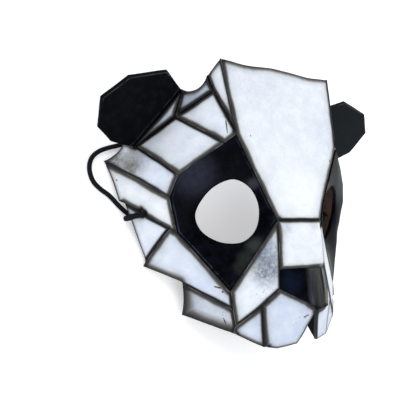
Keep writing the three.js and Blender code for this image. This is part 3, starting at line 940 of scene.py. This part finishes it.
STROKES = [
    # cracks and slips of the brush: start, end, width
    ((-47.5, 48, 67), (-48.5, 40.5, 67), 1.2),
    ((-53, -44, 29), (-51, -45.5, 31), 1.4),
    ((-50, -48, 31), (-49.5, -48, 31), 1.4),
    ((-48.5, -62.5, 25), (-48, -66, 25), 1.0),
    ((-7.5, -72, 50.5), (-5.5, -71.5, 52), 1.2),
    ((37.5, 27.5, 67.5), (37.5, 26.5, 67), 1.2),
    ((-33, 38.5, 70), (-33, 38, 70), 1.0),
    ((-93.5, 33.5, 6.5), (-93, 33, 7), 1.1),
    ((-79.5, 57.5, 22.5), (-66.5, 70.5, 45.5), 0.7),
    ((-58.5, 74.5, 55), (-55.5, 75.5, 59.5), 2.2),
]


def white_paint():
    made, shader, place = new_material("white_painted_leather", Specular_IOR_Level=0.35)
    tint = attribute(place, "tint")
    sponge = clouds(place, SPONGE_SIZE, 4, 0.62).step(0.28, 0.72)
    colour = mix(sponge, mix(tint, *GROUND), mix(tint, *WHITE))
    dabs = clouds(place, DAB_SIZE, 4, 0.65).step(0.5, 0.72)
    colour = mix(DAB_SHARE * dabs, colour, DAB_BLUE)
    # The palest panels, the cheek wings, get neither these smudges nor the painted shade
    patchy = tint.step(*UNMARKED_TINTS) * (0.35 + 0.6 * clouds(place, SPOT_PATCH_SIZE, 5, 0.75).step(0.3, 0.7))
    # Dirt and rubbed paint, with painted shade over the upper brow and the ear base
    for spot, radius, strength, dirt_and_shade in DIRT_AND_SHADE_SPOTS:
        share = close_to(place, spot, radius * SPOT_CORE, radius) * patchy * strength
        colour = mix(share.clamped(), colour, dirt_and_shade)
    away = place.node("ShaderNodeTexNoise", None, {"Vector": place, "Scale": 1 / FRAY_SIZE}, "Color")
    away = away.vector("MULTIPLY_ADD", away, (FRAY,) * 3, (-FRAY / 2,) * 3)
    frayed = place.vector("ADD", place, away)
    cells = place.node("ShaderNodeTexVoronoi", None, {"Vector": frayed, "Scale": 1 / SPECK_STEP}, "Distance")
    dots = cells.step(0.25, 0.12) * clouds(place, SPECK_FLOCK).step(0.46, 0.56)
    for spot, radius in SPECKS:
        colour = mix(dots * close_to(place, spot, radius * SPECK_CORE, radius), colour, SPECK_BLACK)
    for start, end, wide in STROKES:
        colour = mix(stroke(frayed, start, end, wide), colour, STROKE_BLACK)
    wander = 0.6 + 0.8 * clouds(place, DYE_WANDER, 3)
    shake = 0.25 * (clouds(place, DYE_SHAKE, 3) - 0.5)
    bare = colour
    for kind, stops in DYE.items():
        gap = attribute(place, f"{kind}_gap")
        colour = times(colour, ramp(gap * wander + shake * gap.step(0, 1.5), stops))
    edge = attribute(place, "bevel_gap")
    # Painted highlight: a pale brown line near each bevel's ridge, in broken patches
    highlight_patches = edge.step(0.35, 0.55) * edge.step(0.9, 0.65) * clouds(place, BEVEL_HIGHLIGHT_SIZE, 4, 0.6).step(0.44, 0.66)
    colour = mix(0.5 * highlight_patches, colour, BEVEL_HIGHLIGHT_BROWN)
    # Painted light: on the skin of these seams the dye is taken out where bright light washes them out, and
    # it stays on the cut edges, where the gap is negative
    on_skin = edge.step(-0.4, -0.1)
    for start, end, wide, strength in WASHED_OUT_SEAMS:
        colour = mix(strength * stroke(place, start, end, wide, SOFT_CORE) * on_skin, colour, bare)
    grain = leather_grain(place, *WHITE_GRAIN)
    plug(shader, Base_Color=colour, Roughness=0.42 + 0.22 * dabs, Normal=grain)
    return made


FLESH_TANS = ((0.030, 0.017, 0.011), (0.085, 0.042, 0.024))
FLESH_DARK = (0.012, 0.008, 0.007)
STAIN_SIZE = 16 * MM
NAP_SIZE = 0.7 * MM
NAP_DEPTH = 0.25 * MM


def flesh_side():
    made, shader, place = new_material("leather_flesh_side", Roughness=0.95, Specular_IOR_Level=0.2)
    nap = clouds(place, NAP_SIZE, 5, 0.7)
    tan = mix(clouds(place, STAIN_SIZE, 3).step(0.35, 0.7), *FLESH_TANS)
    plug(shader, Base_Color=mix(0.5 * nap, tan, FLESH_DARK), Normal=bump(nap, NAP_DEPTH))
    return made


paint = white_paint()
flesh = flesh_side()
slots = {row["node"]: row["material_slot"] for row in frame["record"]["subparts"]}
for node in PANELS:
    if slots[node] == "white_leather":
        panel(node, f"{node}_leather", (paint, flesh))

# Eye patches and nose: the same moulded leather, painted blue-black to a satin shine, with painted
# reflections, sheen and highlight lines over the black. The eye holes are cut through the patches and their
# edges are dyed.
SATIN_BLACKS = ((0.0004, 0.0006, 0.0014), (0.0036, 0.0044, 0.0085))
STREAK_SIZE = 6 * MM
SHEEN_PATCH_SIZE = 3 * MM
HAIR_SIZE = 12 * MM
HAIR_FINENESS = (7, 1, 1)
RIDGE_HIGHLIGHT_BLUE = (0.036, 0.042, 0.07)
RIDGE_REACH = 14
BLACK_GRAIN = (0.8 * MM, 0.05 * MM)
SHEEN_SPOTS = [
    # spot on the left half, radius, strength, colour of painted reflections and sheen, and of a navy tone on
    # the nose's sides
    ((-67, 21, 49), 20, 0.9, (0.024, 0.027, 0.042)),
    ((-34, 9.5, 62.5), 5, 0.8, (0.045, 0.045, 0.052)),
    ((-33, -24.5, 49.5), 8, 0.8, (0.042, 0.047, 0.040)),
    ((-38, -31.5, 44.5), 7, 0.7, (0.026, 0.033, 0.028)),
    ((-41, -36, 41), 6, 0.6, (0.022, 0.028, 0.024)),
    ((-38, 6, 62), 9, 0.5, (0.022, 0.024, 0.034)),
    ((-15, -51, 54.5), 10, 1.0, (0.004, 0.007, 0.017)),
]
SHEEN = [
    # painted sheen and reflections in streaks, and a dark line along the nose's right ridge: start, end,
    # width, how streaky, colour
    ((-1.5, -46.5, 60.5), (-3.5, -64, 58), 11, 0.5, (0.044, 0.045, 0.052)),
    ((4, -46.5, 60), (3.5, -66, 58), 10, 0.45, (0.066, 0.071, 0.062)),
    ((-2, -45.5, 60.5), (5.5, -45.5, 60.5), 2.4, 0.2, (0.048, 0.050, 0.055)),
    ((11.5, -47, 58), (9.5, -65, 57.5), 8, 0.45, (0.19, 0.19, 0.165)),
    ((7, -46, 60), (7, -60.5, 58.5), 2.0, 0, (0.002, 0.002, 0.003)),
    ((36, -29.5, 46), (44, -45, 36.5), 12, 0.2, (0.085, 0.100, 0.085)),
    ((53, 31, 62), (62, 25, 54), 14, 0.2, (0.050, 0.058, 0.050)),
]
RIDGE_HIGHLIGHTS = [
    # painted highlight lines along the borders of a patch, on the left half: start, end, strength
    ((-79, 11, 37.5), (-73, -9.5, 29.5), 0.6),
    ((-73, -9.5, 29.5), (-46.5, -49, 34), 0.8),
    ((-45, 37.5, 69), (-19, -13, 60.5), 0.3),
]


def black_paint():
    made, shader, place = new_material("black_painted_leather", Specular_IOR_Level=0.02)
    across = place.node("ShaderNodeSeparateXYZ", None, {0: place})
    sockets = {"X": -1 * across.math("ABSOLUTE", across), "Y": across.also("Y"), "Z": across.also("Z")}
    left = place.node("ShaderNodeCombineXYZ", None, sockets)
    streaks = clouds(place, STREAK_SIZE, 5, 0.68)
    colour = mix(streaks.step(0.35, 0.75), *SATIN_BLACKS)
    patchy = 0.45 + 0.85 * clouds(place, SHEEN_PATCH_SIZE, 4, 0.6)
    # Painted reflections and sheen in spots, and a navy tone on the nose's sides
    for spot, radius, strength, grey in SHEEN_SPOTS:
        share = close_to(left, spot, radius * SPOT_CORE, radius) * patchy * strength
        colour = mix(share.clamped(), colour, grey)
    brushed = place.vector("MULTIPLY", place, HAIR_FINENESS)
    hairs = clouds(brushed, HAIR_SIZE, 3, 0.5).step(0.3, 0.7)
    # Painted sheen and reflections in streaks, and a dark line on the nose's right ridge
    for start, end, wide, streaky, grey in SHEEN:
        share = stroke(place, start, end, wide, SOFT_CORE) * (1 - streaky + streaky * hairs)
        colour = mix(share, colour, grey)
    edge = attribute(place, "plain_gap")
    # Painted highlight lines near the patch borders
    ridge_highlight = edge.step(0.8, 1.2) * edge.step(1.9, 1.4) * clouds(place, STREAK_SIZE, 4, 0.65).step(0.36, 0.6)
    for start, end, strength in RIDGE_HIGHLIGHTS:
        colour = mix(strength * ridge_highlight * stroke(left, start, end, RIDGE_REACH), colour, RIDGE_HIGHLIGHT_BLUE)
    grain = leather_grain(place, *BLACK_GRAIN)
    plug(shader, Base_Color=colour, Roughness=0.30 + 0.16 * streaks, Normal=grain)
    return made


satin = black_paint()
for node in ("eye_patch_left", "eye_patch_right", "nose"):
    panel(node, f"{node}_leather", (satin, flesh))

# Ears: flat eight-sided pieces of the same leather, painted plain black, with rounded edges. They stand
# behind the brow beside their bases, folded forward along a line at their foot.
EAR_BLACKS = ((0.0018, 0.0022, 0.0028), (0.006, 0.007, 0.008))
EAR_SIDE_LIT_PALE = (0.022, 0.026, 0.027)
EAR_CREST_HIGHLIGHT = (0.05, 0.05, 0.058)
EAR_FOLD_HIGHLIGHT = (0.03, 0.031, 0.04)
SCUFF_SIZE = 5 * MM
EAR_HIGHLIGHT_SIZE = 7 * MM
EAR_SIDE_LIT_AT = 80 * MM
CREST_HEIGHTS = (40 * MM, 56 * MM)


def ear_paint():
    made, shader, place = new_material("ear_black_leather", Specular_IOR_Level=0.03)
    scuff = clouds(place, SCUFF_SIZE, 4, 0.65)
    colour = mix(scuff.step(0.4, 0.8), *EAR_BLACKS)
    # Painted light: the right ear is painted paler where the side light falls on it, and painted highlights,
    # in broken patches, lie on the crests and beside the folds
    across = place.node("ShaderNodeSeparateXYZ", None, {0: place})
    colour = mix(0.5 * across.step(0, EAR_SIDE_LIT_AT), colour, EAR_SIDE_LIT_PALE)
    rim = attribute(place, "rim_gap")
    fold = attribute(place, "bevel_gap")
    highlight_patches = clouds(place, EAR_HIGHLIGHT_SIZE, 4, 0.6).step(0.34, 0.6)
    high = across.also("Z").step(*CREST_HEIGHTS)
    crest = rim.step(0.3, 0.6) * rim.step(1.4, 0.9) * high * fold.step(13, 19)
    colour = mix(highlight_patches * crest, colour, EAR_CREST_HIGHLIGHT)
    colour = mix(highlight_patches * (fold.step(1.9, 2.4) * fold.step(3.2, 2.7)), colour, EAR_FOLD_HIGHLIGHT)
    grain = leather_grain(place, *BLACK_GRAIN)
    plug(shader, Base_Color=colour, Roughness=0.5 + 0.15 * scuff, Normal=grain)
    return made


ear_black = ear_paint()
for side in ("left", "right"):
    node = f"ear_{side}"
    panel(node, f"{node}_leather", (ear_black, ear_black))

# Notch gussets: two slips of thin black leather, glued behind the lips. They line the sides of the mouth
# notch and taper towards its lower corners.
GUSSET_DEPTH = 9 * MM
GUSSET_ROWS = 7
GUSSET_THICK = 0.9 * MM
GUSSET_WAY = np.array((0, 0.52, -0.854))
GUSSET_INSET = 0.6
GUSSET_TAPER = 0.4
GUSSET_POINT = 0.03
NOTCH_HALF = 9 * MM
NOTCH_BACK = -66.5 * MM
NOTCH_LOW = 40.2 * MM
for side in ("left", "right"):
    edge = borders[f"lip_{side}"][0][0]
    edge = edge[(abs(edge[:, 0]) < NOTCH_HALF) & (edge[:, 1] < NOTCH_BACK) & (edge[:, 2] > NOTCH_LOW)]
    edge = edge[np.argsort(-edge[:, 2])]
    share = np.linspace(0, 1, len(edge))
    depth = GUSSET_DEPTH * np.minimum(1, (1 + GUSSET_POINT - share) / GUSSET_TAPER)
    start = (1 - GUSSET_INSET) * edge[:, :3] + GUSSET_INSET * edge[:, 3:]
    rows = np.linspace(0, 1, GUSSET_ROWS)
    points = (start[:, None] + (depth[:, None] * rows)[..., None] * GUSSET_WAY).reshape(-1, 3)
    first = [k * GUSSET_ROWS + j for k in range(len(edge) - 1) for j in range(GUSSET_ROWS - 1)]
    faces = [(v, v + 1, v + GUSSET_ROWS + 1, v + GUSSET_ROWS) for v in first]
    if side == "left":
        faces = [face[::-1] for face in faces]
    mesh = bpy.data.meshes.new("gusset")
    mesh.from_pydata(points.tolist(), [], faces)
    mesh.materials.append(ear_black)
    sheet = add_object("gusset", mesh)
    thick = sheet.modifiers.new("thick", "SOLIDIFY")
    thick.thickness = GUSSET_THICK
    thick.offset = -1
    gusset = plain_mesh(sheet, f"notch_gusset_{side}")
    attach(gusset, "root")
